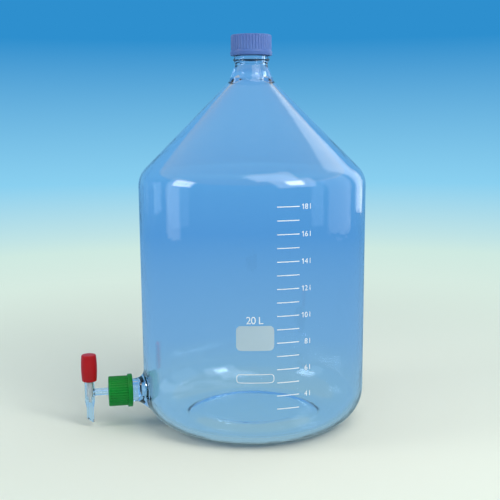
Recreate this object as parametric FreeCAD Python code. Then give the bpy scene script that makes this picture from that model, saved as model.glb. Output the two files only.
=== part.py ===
import FreeCAD, Part
import math
import os

from FreeCAD import Rotation, Vector

# A large aspirator bottle of clear glass. It stands on its foot at z = 0 with its axis on Z.
# The tap points along -X and the printed side faces -Y. All sizes are millimetres.

os.makedirs("parts", exist_ok=True)

# Bottle body
body_radius = 144.0
body_draft = 1.5
straight_height = 319.0
shoulder_round = 31.5
cone_angle = 45.0
heel_round = 45.0
wall = 5.0
floor_thickness = 6.0
punt_radius = 80.0
punt_height = 7.0
punt_slope = 7.0
punt_round = 9.0
foot_round = 3.0

# Neck and mouth
neck_radius = 22.0
neck_length = 47.6
neck_round = 28.0
neck_waist_radius = 20.2
neck_waist_round = 2.0
mouth_bore = 15.0
mouth_round = 2.0
throat_round = 16.0
finish_root = 20.5
finish_height = 23.0
thread_depth = 2.0
bead_radius = 23.3
bead_top_slope = 4.1
bead_under_radius = 21.6
bead_under_drop = 1.7
bead_foot_drop = 6.5
bead_edge_round = 0.5
edge_round = 0.8
same_place = 1e-6

# Pouring ring, which sits over the mouth
ring_wall = 1.0
ring_skirt = 5.0
ring_lip = 1.4
ring_fit = 0.1
ring_seat = 0.1

# Screw cap
cap_top = 2.3
cap_height = 25.5
cap_skirt_wall = 1.9
cap_flange_height = 7.0
cap_flange_step = 1.8
cap_flange_proud = 1.2
cap_flange_flare = 0.5
cap_thread_gap = 0.4
cap_seat = 0.15
cap_ribs = 42
cap_rib_depth = 0.7
rib_share = 0.56
cap_crown_chamfer = 1.3
plug_depth = 5.0
plug_wall = 1.4
plug_gap = 0.35

# Side tubulation for the tap
tap_height = 45.0
tube_radius = 14.0
tube_root_radius = 16.2
tube_taper_length = 24.0
tube_bore = 10.0
tube_length = 37.8
tube_root_round = 11.0
tube_rim_round = 1.4
tube_thread_depth = 2.0

# Seal ring and union nut
seal_thickness = 2.5
seal_inset = 0.4
nut_length = 30.1
nut_front = 2.4
nut_wall = 2.0
nut_thread_gap = 0.4
nut_flange_length = 6.0
nut_flange_proud = 2.6
nut_ribs = 36
nut_rib_depth = 0.6
nut_chamfer = 1.0
nut_flange_round = 1.2
nut_window_gap = 1.5
face_gap = 0.05

# Glass body of the stopcock
clamp_radius = 13.4
clamp_thickness = 3.0
clamp_round = 0.8
side_tube_radius = 4.6
side_bore = 2.2
side_tube_length = 26.2
side_tube_round = 1.2
barrel_radius = 6.2
barrel_bore = 3.4
barrel_below = 11.0
barrel_above = 15.8
barrel_joint_round = 2.2
taper_length = 9.0
taper_round = 3.0
outlet_radius = 4.5
outlet_bore = 2.0
outlet_length = 19.3
outlet_slant = 6.2
seat_drop = 7.5
seat_length = 3.5
valve_finish_radius = 7.3
valve_finish_length = 17.0

# Spindle with its needle tip
spindle_radius = 3.15
spindle_lip_gap = 0.08
spindle_lips = 3
spindle_lip_width = 1.4
spindle_lip_pitch = 6.0
spindle_edge_round = 0.4
spindle_head_round = 0.6
needle_radius = 2.2
needle_length = 5.5
needle_tip_radius = 1.5
needle_gap = 0.07
swivel_neck_radius = 2.0
swivel_neck_length = 3.0
swivel_head_length = 3.0
swivel_rise = 3.0
swivel_gap = 0.1

# Knob
knob_end_radius = 9.1
knob_waist_radius = 10.1
knob_round = 1.6
knob_cap = 7.6
knob_thread_gap = 0.45
knob_top_gap = 1.5
knob_skirt_gap = 0.4

# Places that follow from the sizes
cone_slope = math.tan(math.radians(cone_angle))
foot_radius = body_radius - body_draft
cone_top = straight_height + (body_radius - neck_radius) * cone_slope
rim_height = cone_top + neck_length
bead_top = rim_height - finish_height
bead_edge = bead_top - bead_top_slope
wall_drop = wall * (1.0 / math.cos(math.radians(cone_angle)) - cone_slope)
inner_radius = body_radius - wall
inner_shoulder = straight_height - wall_drop
stock_reach = inner_radius - tube_radius
throat_height = inner_shoulder + (inner_radius - mouth_bore) * cone_slope
ring_underside = rim_height + ring_seat
ring_top = ring_underside + ring_wall
cap_ceiling = ring_top + cap_seat
cap_crown = cap_ceiling + cap_top
cap_foot = cap_crown - cap_height
thread_radius = finish_root + thread_depth
cap_bore = thread_radius + cap_thread_gap
cap_radius = cap_bore + cap_skirt_wall
cap_flange_top = cap_foot + cap_flange_height
tube_rim = foot_radius + tube_length
clamp_face = tube_rim + seal_thickness + face_gap
clamp_back = clamp_face + clamp_thickness
nut_ceiling = clamp_back + face_gap
nut_crown = nut_ceiling + nut_front
nut_foot = nut_crown - nut_length
nut_bore = tube_radius + tube_thread_depth + nut_thread_gap
nut_radius = nut_bore + nut_wall
nut_window = side_tube_radius + nut_window_gap
valve_reach = clamp_back + side_tube_length
barrel_foot = tap_height - barrel_below
outlet_top = barrel_foot - taper_length
outlet_foot = outlet_top - outlet_length
barrel_top = tap_height + barrel_above
valve_rim = barrel_top + valve_finish_length
seat_top = tap_height - seat_drop
seat_foot = seat_top - seat_length
seat_steepness = (barrel_bore - outlet_bore) / seat_length
needle_edge = seat_foot + (needle_radius + needle_gap - outlet_bore) / seat_steepness
needle_foot = needle_edge - (needle_radius - needle_tip_radius) / seat_steepness
needle_top = needle_edge + needle_length
swivel_shoulder = valve_rim + swivel_rise
swivel_head = swivel_shoulder + swivel_neck_length
spindle_top = swivel_head + swivel_head_length
knob_foot = barrel_top - knob_skirt_gap
knob_ceiling = valve_rim + knob_top_gap
knob_bore = valve_finish_radius + knob_thread_gap
knob_top = spindle_top + swivel_gap + knob_cap


def rounded_face(corners):
    """Face in the XZ plane from closed corners (radius from the axis, height, corner round)."""
    points = [Vector(across, 0, up) for across, up, _ in corners]
    count = len(points)
    starts = []
    middles = []
    ends = []
    for index, (_, _, rounding) in enumerate(corners):
        corner = points[index]
        back = (points[index - 1] - corner).normalize()
        ahead = (points[(index + 1) % count] - corner).normalize()
        half_angle = back.getAngle(ahead) / 2.0
        reach = rounding / math.tan(half_angle)
        starts.append(corner + back * reach)
        ends.append(corner + ahead * reach)
        if rounding > 0:
            inward = (back + ahead).normalize()
            middles.append(corner + inward * (rounding / math.sin(half_angle) - rounding))
        else:
            middles.append(corner)
    edges = []
    for index in range(count):
        if corners[index][2] > 0:
            edges.append(Part.Arc(starts[index], middles[index], ends[index]).toShape())
        following = starts[(index + 1) % count]
        if ends[index].distanceToPoint(following) > same_place:
            edges.append(Part.makeLine(ends[index], following))
    return Part.Face(Part.Wire(edges))


def turned(corners):
    """Solid of revolution about Z from closed corners."""
    return rounded_face(corners).revolve(Vector(0, 0, 0), Vector(0, 0, 1), 360)


def ribbed_prism(root_radius, rib_depth, ribs, low, high):
    """Upright prism whose round side carries evenly spaced half-round ribs."""
    step = 2.0 * math.pi / ribs
    half_rib = rib_share * step / 2.0

    def on_circle(radius, angle):
        return Vector(radius * math.cos(angle), radius * math.sin(angle), low)

    edges = []
    for rib in range(ribs):
        centre = rib * step
        rib_start = on_circle(root_radius, centre - half_rib)
        rib_crest = on_circle(root_radius + rib_depth, centre)
        rib_end = on_circle(root_radius, centre + half_rib)
        valley = on_circle(root_radius, centre + step / 2.0)
        next_start = on_circle(root_radius, centre + step - half_rib)
        edges.append(Part.Arc(rib_start, rib_crest, rib_end).toShape())
        edges.append(Part.Arc(rib_end, valley, next_start).toShape())
    return Part.Face(Part.Wire(edges)).extrude(Vector(0, 0, high - low))


def along_tap(shape):
    """Turns a shape made about Z so that its height runs out along -X at the tap's axis."""
    shape = shape.copy()
    shape.Placement = FreeCAD.Placement(Vector(0, 0, tap_height), Rotation(Vector(0, 1, 0), -90))
    return shape


def at_valve(shape):
    """Moves a shape made about Z to the upright axis of the valve."""
    shape = shape.copy()
    shape.translate(Vector(-valve_reach, 0, 0))
    return shape


def joint_edges(shape, near, far, inner, outer):
    """Edges round the tap's axis, between two distances from the bottle's axis and two radii."""
    found = []
    for edge in shape.Edges:
        middle = edge.valueAt((edge.FirstParameter + edge.LastParameter) / 2.0)
        off_axis = math.hypot(middle.y, middle.z - tap_height)
        box = edge.BoundBox
        if near < -box.XMax and -box.XMin < far and inner < off_axis < outer:
            found.append(edge)
    return found


def make_bottle():
    """Blown glass bottle: body, cone, neck with collar, and the tubulation near the foot."""
    outside = turned([
        (0, punt_height, 0),
        (punt_radius, punt_height, punt_round),
        (punt_radius + punt_slope, 0, foot_round),
        (foot_radius, 0, heel_round),
        (body_radius, straight_height, shoulder_round),
        (neck_radius, cone_top, neck_round),
        (neck_waist_radius, bead_edge - bead_foot_drop, neck_waist_round),
        (bead_under_radius, bead_edge - bead_under_drop, edge_round),
        (bead_radius, bead_edge, bead_edge_round),
        (finish_root, bead_top, edge_round),
        (finish_root, rim_height, mouth_round),
        (0, rim_height, 0),
    ])
    hollow = turned([
        (0, punt_height + floor_thickness, 0),
        (punt_radius, punt_height + floor_thickness, punt_round),
        (punt_radius + punt_slope, floor_thickness, foot_round),
        (foot_radius - wall, floor_thickness, heel_round - wall),
        (inner_radius, inner_shoulder, shoulder_round - wall),
        (mouth_bore, throat_height, throat_round),
        (mouth_bore, rim_height, 0),
        (0, rim_height, 0),
    ])
    tube = along_tap(turned([
        (0, stock_reach, 0),
        (tube_root_radius, stock_reach, 0),
        (tube_root_radius, foot_radius - wall, 0),
        (tube_radius, foot_radius - wall + tube_taper_length, 0),
        (tube_radius, tube_rim, tube_rim_round),
        (0, tube_rim, 0),
    ]))
    bore = along_tap(turned([
        (0, stock_reach, 0),
        (tube_bore, stock_reach, 0),
        (tube_bore, tube_rim, 0),
        (0, tube_rim, 0),
    ]))
    glass = outside.fuse(tube)
    joint = joint_edges(glass, stock_reach, body_radius, tube_radius, tube_root_radius + edge_round)
    glass = glass.makeFillet(tube_root_round, joint)
    return glass.cut(hollow).cut(bore)


def make_pouring_ring():
    """Drip ring that grips the outside of the mouth under the cap."""
    grip = finish_root + ring_fit
    return turned([
        (mouth_bore + mouth_round, ring_underside, 0),
        (grip, ring_underside, 0),
        (grip, ring_underside - ring_skirt, 0),
        (grip + ring_wall, ring_underside - ring_skirt, 0),
        (grip + ring_wall, ring_underside, 0),
        (grip + ring_lip, ring_top, 0),
        (mouth_bore + mouth_round, ring_top, 0),
    ])


def make_cap():
    """Screw cap: ribbed skirt, stepped flange at its foot, and the plug lip inside its top."""
    crest = cap_radius + cap_rib_depth
    crown = turned([
        (0, cap_flange_top, 0),
        (crest, cap_flange_top, 0),
        (crest, cap_crown - cap_crown_chamfer, 0),
        (crest - cap_crown_chamfer, cap_crown, 0),
        (0, cap_crown, 0),
    ])
    ribs = ribbed_prism(cap_radius, cap_rib_depth, cap_ribs, cap_flange_top, cap_crown)
    flange = turned([
        (0, cap_foot, 0),
        (cap_radius + cap_flange_proud, cap_foot, edge_round),
        (cap_radius + cap_flange_proud + cap_flange_flare, cap_flange_top - cap_flange_step, edge_round),
        (crest, cap_flange_top - cap_flange_step, 0),
        (crest, cap_flange_top, 0),
        (0, cap_flange_top, 0),
    ])
    plug_outer = mouth_bore - plug_gap
    inside = turned([
        (0, cap_foot, 0),
        (cap_bore, cap_foot, 0),
        (cap_bore, cap_ceiling, 0),
        (plug_outer, cap_ceiling, 0),
        (plug_outer, cap_ceiling - plug_depth, 0),
        (plug_outer - plug_wall, cap_ceiling - plug_depth, 0),
        (plug_outer - plug_wall, cap_ceiling, 0),
        (0, cap_ceiling, 0),
    ])
    return crown.common(ribs).fuse(flange).cut(inside).removeSplitter()


def make_tap_seal():
    """Flat ring that seals the stopcock's clamp against the tubulation's rim."""
    return along_tap(turned([
        (tube_bore, tube_rim, 0),
        (tube_radius - seal_inset, tube_rim, 0),
        (tube_radius - seal_inset, tube_rim + seal_thickness, 0),
        (tube_bore, tube_rim + seal_thickness, 0),
    ]))


def make_tap_nut():
    """Union nut with a window in its front, a ribbed side and a flange at its foot."""
    crest = nut_radius + nut_rib_depth
    crown = turned([
        (0, nut_foot, 0),
        (crest, nut_foot, 0),
        (crest, nut_crown - nut_chamfer, 0),
        (crest - nut_chamfer, nut_crown, 0),
        (0, nut_crown, 0),
    ])
    ribs = ribbed_prism(nut_radius, nut_rib_depth, nut_ribs, nut_foot, nut_crown)
    flange = turned([
        (0, nut_foot, 0),
        (nut_radius + nut_flange_proud, nut_foot, nut_flange_round),
        (nut_radius + nut_flange_proud, nut_foot + nut_flange_length, nut_flange_round),
        (0, nut_foot + nut_flange_length, 0),
    ])
    inside = turned([
        (0, nut_foot, 0),
        (nut_bore, nut_foot, 0),
        (nut_bore, nut_ceiling, 0),
        (nut_window, nut_ceiling, 0),
        (nut_window, nut_crown, 0),
        (0, nut_crown, 0),
    ])
    return along_tap(crown.common(ribs).fuse(flange).cut(inside).removeSplitter())


def make_stopcock_body():
    """Glass of the stopcock: clamp disc, side tube, barrel with its seat, and slant-cut outlet."""
    arm = along_tap(turned([
        (0, clamp_face, 0),
        (clamp_radius, clamp_face, clamp_round),
        (clamp_radius, clamp_back, clamp_round),
        (side_tube_radius, clamp_back, side_tube_round),
        (side_tube_radius, valve_reach, 0),
        (0, valve_reach, 0),
    ]))
    arm_bore = along_tap(turned([
        (0, clamp_face, 0),
        (side_bore, clamp_face, 0),
        (side_bore, valve_reach, 0),
        (0, valve_reach, 0),
    ]))
    barrel = at_valve(turned([
        (0, outlet_foot, 0),
        (outlet_radius, outlet_foot, 0),
        (outlet_radius, outlet_top, taper_round),
        (barrel_radius, barrel_foot, taper_round),
        (barrel_radius, barrel_top, 0),
        (valve_finish_radius, barrel_top, 0),
        (valve_finish_radius, valve_rim, edge_round),
        (0, valve_rim, 0),
    ]))
    barrel_hollow = at_valve(turned([
        (0, outlet_foot, 0),
        (outlet_bore, outlet_foot, 0),
        (outlet_bore, seat_foot, 0),
        (barrel_bore, seat_top, 0),
        (barrel_bore, valve_rim, 0),
        (0, valve_rim, 0),
    ]))
    glass = arm.fuse(barrel)
    joint = joint_edges(
        glass, valve_reach - barrel_radius - edge_round, valve_reach,
        side_tube_radius - edge_round, side_tube_radius + edge_round)
    glass = glass.makeFillet(barrel_joint_round, joint)
    inner_side = -valve_reach + outlet_radius
    outer_side = -valve_reach - outlet_radius
    cut_side = outlet_radius + edge_round
    slant = Part.Face(Part.makePolygon([
        Vector(inner_side, -cut_side, outlet_foot),
        Vector(outer_side, -cut_side, outlet_foot + outlet_slant),
        Vector(outer_side, -cut_side, outlet_foot - outlet_slant),
        Vector(inner_side, -cut_side, outlet_foot - outlet_slant),
        Vector(inner_side, -cut_side, outlet_foot),
    ])).extrude(Vector(0, 2.0 * cut_side, 0))
    return glass.cut(barrel_hollow).cut(arm_bore).cut(slant)


def make_spindle():
    """Turned spindle: sealing lips, needle tip, and a headed neck that the knob turns on."""
    stem = turned([
        (0, needle_foot, 0),
        (needle_tip_radius, needle_foot, 0),
        (needle_radius, needle_edge, 0),
        (needle_radius, needle_top, 0),
        (spindle_radius, needle_top, spindle_edge_round),
        (spindle_radius, swivel_shoulder, 0),
        (swivel_neck_radius, swivel_shoulder, 0),
        (swivel_neck_radius, swivel_head, 0),
        (spindle_radius, swivel_head, 0),
        (spindle_radius, spindle_top, spindle_head_round),
        (0, spindle_top, 0),
    ])
    for lip in range(spindle_lips):
        lip_low = barrel_top - lip * spindle_lip_pitch
        stem = stem.fuse(Part.makeCylinder(
            barrel_bore - spindle_lip_gap, spindle_lip_width, Vector(0, 0, lip_low)))
    return at_valve(stem)


def make_knob():
    """Knob: barrel-shaped grip, skirt over the barrel's finish, and the socket of the spindle."""
    waist_height = (knob_foot + knob_top) / 2.0
    waist = Part.Arc(
        Vector(knob_end_radius, 0, knob_foot),
        Vector(knob_waist_radius, 0, waist_height),
        Vector(knob_end_radius, 0, knob_top)).toShape()
    side = [
        waist,
        Part.makeLine(Vector(knob_end_radius, 0, knob_top), Vector(0, 0, knob_top)),
        Part.makeLine(Vector(0, 0, knob_top), Vector(0, 0, knob_foot)),
        Part.makeLine(Vector(0, 0, knob_foot), Vector(knob_end_radius, 0, knob_foot)),
    ]
    grip = Part.Face(Part.Wire(side)).revolve(Vector(0, 0, 0), Vector(0, 0, 1), 360)
    grip = grip.makeFillet(knob_round, [
        edge for edge in grip.Edges
        if edge.Length > knob_end_radius and edge.BoundBox.ZLength < knob_round])
    socket = turned([
        (0, knob_foot, 0),
        (knob_bore, knob_foot, 0),
        (knob_bore, knob_ceiling, 0),
        (spindle_radius + swivel_gap, knob_ceiling, 0),
        (spindle_radius + swivel_gap, swivel_shoulder + swivel_gap, 0),
        (swivel_neck_radius + swivel_gap, swivel_shoulder + swivel_gap, 0),
        (swivel_neck_radius + swivel_gap, swivel_head - swivel_gap, 0),
        (spindle_radius + swivel_gap, swivel_head - swivel_gap, 0),
        (spindle_radius + swivel_gap, spindle_top + swivel_gap, 0),
        (0, spindle_top + swivel_gap, 0),
    ])
    return at_valve(grip.cut(socket))


pieces = {
    "bottle": make_bottle(),
    "pouring_ring": make_pouring_ring(),
    "screw_cap": make_cap(),
    "tap_seal": make_tap_seal(),
    "tap_nut": make_tap_nut(),
    "stopcock_body": make_stopcock_body(),
    "valve_spindle": make_spindle(),
    "valve_knob": make_knob(),
}

for name, shape in pieces.items():
    shape.exportStep("parts/" + name + ".step")
    print(name, "solids", len(shape.Solids), "valid", shape.isValid(), "volume cm3", round(shape.Volume / 1000.0, 2))
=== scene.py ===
"""Dresses a large glass aspirator bottle: blown body, printed scale, caps, needle-valve tap and studio."""

import logging
import math
from dataclasses import dataclass, field
from enum import Enum
from typing import Callable, ClassVar, Optional, Sequence

import bmesh
import bpy
from mathutils import Matrix, Vector


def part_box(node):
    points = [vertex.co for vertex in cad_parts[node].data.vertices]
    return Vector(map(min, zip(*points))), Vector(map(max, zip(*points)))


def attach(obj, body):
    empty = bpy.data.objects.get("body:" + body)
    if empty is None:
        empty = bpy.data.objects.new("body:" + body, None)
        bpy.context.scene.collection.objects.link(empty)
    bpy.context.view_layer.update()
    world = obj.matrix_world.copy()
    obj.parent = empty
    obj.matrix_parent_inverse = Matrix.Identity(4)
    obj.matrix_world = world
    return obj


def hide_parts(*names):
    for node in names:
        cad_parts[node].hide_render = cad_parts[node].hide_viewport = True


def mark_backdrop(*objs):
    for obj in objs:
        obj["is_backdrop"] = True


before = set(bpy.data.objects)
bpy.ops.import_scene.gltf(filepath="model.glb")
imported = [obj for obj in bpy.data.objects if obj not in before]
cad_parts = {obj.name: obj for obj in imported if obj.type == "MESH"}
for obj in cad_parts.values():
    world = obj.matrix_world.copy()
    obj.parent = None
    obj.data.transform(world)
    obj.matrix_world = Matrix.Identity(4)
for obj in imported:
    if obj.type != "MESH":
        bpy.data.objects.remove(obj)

log = logging.getLogger("aspirator")
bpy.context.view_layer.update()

Shape = bmesh.types.BMesh
Piece = bpy.types.Object
Material = bpy.types.Material
Tree = bpy.types.NodeTree
Node = bpy.types.Node
Socket = bpy.types.NodeSocket

MM = 0.001
TURN = 2.0 * math.pi
# Edges that fold further than this stay crisp when their faces are shaded smooth
SHARP_ANGLE = math.radians(38.0)
# Vertices nearer to each other than this, in metres, are one
WELD = 1e-6
# The wave texture runs through this many radians of its bands in one unit of its scaled place
WAVE_RADIANS = 20.0


def linear(code: str) -> tuple[float, float, float, float]:
    """Turns an sRGB hex colour into the linear values that a shader works in.

    Args:
        code: six hex digits with a leading hash.

    Returns:
        Linear red, green, blue and an alpha of one.
    """
    parts = [int(code[at:at + 2], 16) / 255.0 for at in (1, 3, 5)]
    red, green, blue = [
        part / 12.92 if part <= 0.04045 else ((part + 0.055) / 1.055) ** 2.4 for part in parts]
    return red, green, blue, 1.0


def smooth_step(value: float) -> float:
    """Eases a value from 0 to 1 with flat ends."""
    held = min(1.0, max(0.0, value))
    return held * held * (3.0 - 2.0 * held)


# Outlines and turned shapes


@dataclass(frozen=True)
class Corner:
    """A corner of an outline, in millimetres: distance from the axis, height and rounding."""

    across: float
    up: float
    rounding: float = 0.0


def boxed(left: float, right: float, low: float, high: float, rounding: float) -> list[Corner]:
    """The four corners of an upright rectangle.

    Args:
        left: its nearer side, in millimetres.
        right: its farther side.
        low: height of its foot.
        high: height of its top.
        rounding: radius of its corners.

    Returns:
        The corners in order round the rectangle.
    """
    places = ((left, low), (right, low), (right, high), (left, high))
    return [Corner(across, up, rounding) for across, up in places]


def traced(corners: Sequence[Corner], closed: bool, arc_steps: int) -> list[Vector]:
    """Traces an outline through its corners, each rounded by its own radius.

    Args:
        corners: the outline's corners in order.
        closed: whether the last corner joins the first.
        arc_steps: pieces in the arc of a right-angled corner.

    Returns:
        Points in metres in the XZ plane.
    """
    count = len(corners)
    places = [Vector((corner.across, 0.0, corner.up)) for corner in corners]
    points = []
    for index, corner in enumerate(corners):
        here = places[index]
        if corner.rounding == 0.0 or (not closed and index in (0, count - 1)):
            points.append(here * MM)
            continue
        back = (places[index - 1] - here).normalized()
        ahead = (places[(index + 1) % count] - here).normalized()
        half = back.angle(ahead) / 2.0
        reach = corner.rounding / math.tan(half)
        centre = here + (back + ahead).normalized() * (corner.rounding / math.sin(half))
        start = here + back * reach - centre
        end = here + ahead * reach - centre
        swing = start.angle(end)
        steps = max(2, math.ceil(arc_steps * swing / (math.pi / 2.0)))
        axis = start.cross(end).normalized()
        for step in range(steps + 1):
            turn = Matrix.Rotation(swing * step / steps, 3, axis)
            points.append((centre + turn @ start) * MM)
    return points


def split_long(points: Sequence[Vector], longest: float) -> list[Vector]:
    """Adds points to an outline so that none of its runs is long.

    Args:
        points: outline in metres.
        longest: longest run that is left whole, in millimetres.

    Returns:
        The outline with the added points.
    """
    finer = [points[0]]
    for before, after in zip(points, points[1:]):
        parts = max(1, math.ceil((after - before).length / (longest * MM)))
        finer.extend(before.lerp(after, part / parts) for part in range(1, parts + 1))
    return finer


def spun(points: Sequence[Vector], steps: int, closed: bool) -> Shape:
    """Spins an outline once round Z.

    Args:
        points: outline in the XZ plane, in metres.
        steps: facets round the turn.
        closed: whether the outline's last point joins its first.

    Returns:
        The welded mesh with its faces pointing outwards.
    """
    shape = bmesh.new()
    verts = [shape.verts.new(point) for point in points]
    edges = [shape.edges.new(pair) for pair in zip(verts, verts[1:])]
    if closed:
        edges.append(shape.edges.new((verts[-1], verts[0])))
    bmesh.ops.spin(
        shape, geom=verts + edges, cent=(0, 0, 0), axis=(0, 0, 1), dvec=(0, 0, 0),
        angle=TURN, steps=steps, use_merge=True, use_normal_flip=False, use_duplicate=False)
    bmesh.ops.remove_doubles(shape, verts=shape.verts, dist=WELD)
    bmesh.ops.recalc_face_normals(shape, faces=shape.faces)
    return shape


def placed(shape: Shape, matrix: Matrix) -> Shape:
    """Moves a mesh's vertices by a matrix and gives the mesh back."""
    bmesh.ops.transform(shape, matrix=matrix, verts=shape.verts)
    return shape


def turned(
    corners: Sequence[Corner], steps: int, closed: bool, arc_steps: int, place: Optional[Matrix] = None
) -> Shape:
    """Turns a shape from the corners of its outline, as on a lathe.

    Args:
        corners: the outline's corners; an open outline starts and ends on the axis, or stays open.
        steps: facets round the turn.
        closed: whether the last corner joins the first.
        arc_steps: pieces in the arc of a right-angled corner.
        place: matrix that lays the shape where it belongs.

    Returns:
        The turned mesh.
    """
    shape = spun(traced(corners, closed, arc_steps), steps, closed)
    return shape if place is None else placed(shape, place)


def widen(vert: bmesh.types.BMVert, share: float) -> None:
    """Moves a vertex straight out from Z, or in, to a share of its distance."""
    vert.co.x *= share
    vert.co.y *= share


def joined(*shapes: Shape) -> Shape:
    """Puts several meshes into one.

    Args:
        shapes: the meshes, which are freed.

    Returns:
        One mesh that holds them all, unwelded.
    """
    whole = bmesh.new()
    for shape in shapes:
        carrier = bpy.data.meshes.new("carrier")
        shape.to_mesh(carrier)
        shape.free()
        whole.from_mesh(carrier)
        bpy.data.meshes.remove(carrier)
    return whole


def as_object(name: str, shape: Shape) -> Piece:
    """Turns a mesh into a bare object that modifiers can work on.

    Args:
        name: the object's name.
        shape: its mesh, which is freed.

    Returns:
        The object, linked to the scene.
    """
    mesh = bpy.data.meshes.new(name)
    shape.to_mesh(mesh)
    shape.free()
    made = bpy.data.objects.new(name, mesh)
    bpy.context.scene.collection.objects.link(made)
    return made


def baked(made: Piece) -> Shape:
    """Takes the mesh of an object with its modifiers applied.

    Args:
        made: a mesh or text object of the scene, which stays as it is.

    Returns:
        Its evaluated mesh.
    """
    graph = bpy.context.evaluated_depsgraph_get()
    mesh = bpy.data.meshes.new_from_object(made.evaluated_get(graph))
    shape = bmesh.new()
    shape.from_mesh(mesh)
    bpy.data.meshes.remove(mesh)
    return shape


def along_tap(height: float) -> Matrix:
    """Lays a shape made about Z along the tap's axis, so that its height runs out along -X."""
    return Matrix.Translation((0, 0, height * MM)) @ Matrix.Rotation(-math.pi / 2.0, 4, "Y")


def at_valve(reach: float) -> Matrix:
    """Moves a shape made about Z to the valve's upright axis."""
    return Matrix.Translation((-reach * MM, 0, 0))


# Finishes


def add_node(tree: Tree, kind: str, settings: Optional[dict] = None, links: Optional[dict] = None) -> Node:
    """Adds a node with its settings and links.

    Args:
        tree: the tree that it goes into.
        kind: the node's type.
        settings: values by name; a number, or a name that starts with a capital, is a socket's.
        links: source sockets by the name or number of the input that they feed.

    Returns:
        The new node.
    """
    made = tree.nodes.new(kind)
    for name, value in (settings or {}).items():
        if isinstance(name, int) or name[0].isupper():
            made.inputs[name].default_value = value
        else:
            setattr(made, name, value)
    for name, source in (links or {}).items():
        tree.links.new(source, made.inputs[name])
    return made


def per_mm(size: float) -> float:
    """Texture scale, in cells per metre, that gives a pattern of a size in millimetres."""
    return 1.0 / (size * MM)


@dataclass(frozen=True)
class Finish:
    """What every finish shares: a material's name, a slot name, a shader and a fine relief."""

    name: str
    slot: str
    colour: str
    roughness: float
    relief_size: float
    relief_depth: float
    relief_detail: ClassVar[float] = 3.0

    def start(self, values: Optional[dict] = None) -> tuple[Material, Tree, Node, Node]:
        """Makes the material with its shader and output.

        Args:
            values: what the shader's further sockets hold, the same all over the surface.

        Returns:
            The material, its tree, its principled shader and its output.
        """
        material = bpy.data.materials.new(self.name)
        material.use_nodes = True
        tree = material.node_tree
        tree.nodes.clear()
        shader = add_node(tree, "ShaderNodeBsdfPrincipled", {
            "Base Color": linear(self.colour), "Roughness": self.roughness, **(values or {})})
        output = add_node(tree, "ShaderNodeOutputMaterial", {}, {"Surface": shader.outputs["BSDF"]})
        return material, tree, shader, output

    def relief(self, tree: Tree, shader: Node) -> None:
        """Adds a soft uneven relief to the surface.

        Args:
            tree: the material's tree.
            shader: the shader whose normal it bends.
        """
        place = add_node(tree, "ShaderNodeTexCoord").outputs["Object"]
        noise = add_node(
            tree, "ShaderNodeTexNoise",
            {"Scale": per_mm(self.relief_size), "Detail": self.relief_detail}, {"Vector": place})
        bump = add_node(
            tree, "ShaderNodeBump", {"Strength": 1.0, "Distance": self.relief_depth * MM},
            {"Height": noise.outputs["Fac"]})
        tree.links.new(bump.outputs["Normal"], shader.inputs["Normal"])

    def material(self) -> Material:
        """Builds the material, as each finish does in its own way."""
        raise NotImplementedError


@dataclass(frozen=True)
class BlownGlass(Finish):
    """Borosilicate glass, blown and fire polished: clear, faintly wavy, tinted through its wall."""

    ior: float = 1.473
    body_colour: str = "#7FC4F2"
    body_density: float = 16.0

    def material(self) -> Material:
        """Builds the glass: refraction, a slow waviness and a tint that grows with thickness.

        Returns:
            The material.
        """
        material, tree, shader, output = self.start({"IOR": self.ior, "Transmission Weight": 1.0})
        self.relief(tree, shader)
        tint = add_node(tree, "ShaderNodeVolumeAbsorption", {
            "Color": linear(self.body_colour), "Density": self.body_density})
        tree.links.new(tint.outputs["Volume"], output.inputs["Volume"])
        return material


@dataclass(frozen=True)
class MouldedPlastic(Finish):
    """Injection-moulded polyolefin: an even colour, a satin skin and a little light in its depth."""

    shade: str
    ior: float = 1.49
    shine: float = 0.3
    depth: float = 0.6
    depth_share: float = 0.03
    mottling: float = 18.0
    mottling_detail: float = 2.0

    def material(self) -> Material:
        """Builds the plastic with a slow drift between its colour and a darker shade of it.

        Returns:
            The material.
        """
        material, tree, shader, _ = self.start({
            "IOR": self.ior, "Specular IOR Level": self.shine, "Subsurface Weight": self.depth_share,
            "Subsurface Radius": (self.depth, self.depth, self.depth), "Subsurface Scale": MM})
        self.relief(tree, shader)
        place = add_node(tree, "ShaderNodeTexCoord").outputs["Object"]
        drift = add_node(
            tree, "ShaderNodeTexNoise",
            {"Scale": per_mm(self.mottling), "Detail": self.mottling_detail}, {"Vector": place})
        # In a mix of colours, sockets 6 and 7 are the two colours and output 2 is their mix
        mix = add_node(
            tree, "ShaderNodeMix",
            {"data_type": "RGBA", 6: linear(self.colour), 7: linear(self.shade)},
            {0: drift.outputs["Fac"]})
        tree.links.new(mix.outputs[2], shader.inputs["Base Color"])
        return material


@dataclass(frozen=True)
class TurnedFluoropolymer(Finish):
    """White fluoropolymer turned on a lathe: waxy, with tool rings round its axis.

    Real tool rings lie far closer; they are drawn as coarse as they need to be to show.
    """

    ior: float = 1.38
    ring_pitch: float = 3.77
    ring_strength: float = 0.6
    ring_waver: float = 0.4

    def material(self) -> Material:
        """Builds the white plastic with tool rings stacked along Z.

        Returns:
            The material.
        """
        material, tree, shader, _ = self.start({"IOR": self.ior})
        place = add_node(tree, "ShaderNodeTexCoord").outputs["Object"]
        rings = add_node(
            tree, "ShaderNodeTexWave",
            {"wave_type": "BANDS", "bands_direction": "Z",
             "Scale": per_mm(self.ring_pitch) * TURN / WAVE_RADIANS, "Distortion": self.ring_waver},
            {"Vector": place})
        bump = add_node(
            tree, "ShaderNodeBump",
            {"Strength": self.ring_strength, "Distance": self.relief_depth * MM},
            {"Height": rings.outputs["Fac"]})
        tree.links.new(bump.outputs["Normal"], shader.inputs["Normal"])
        return material


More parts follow.
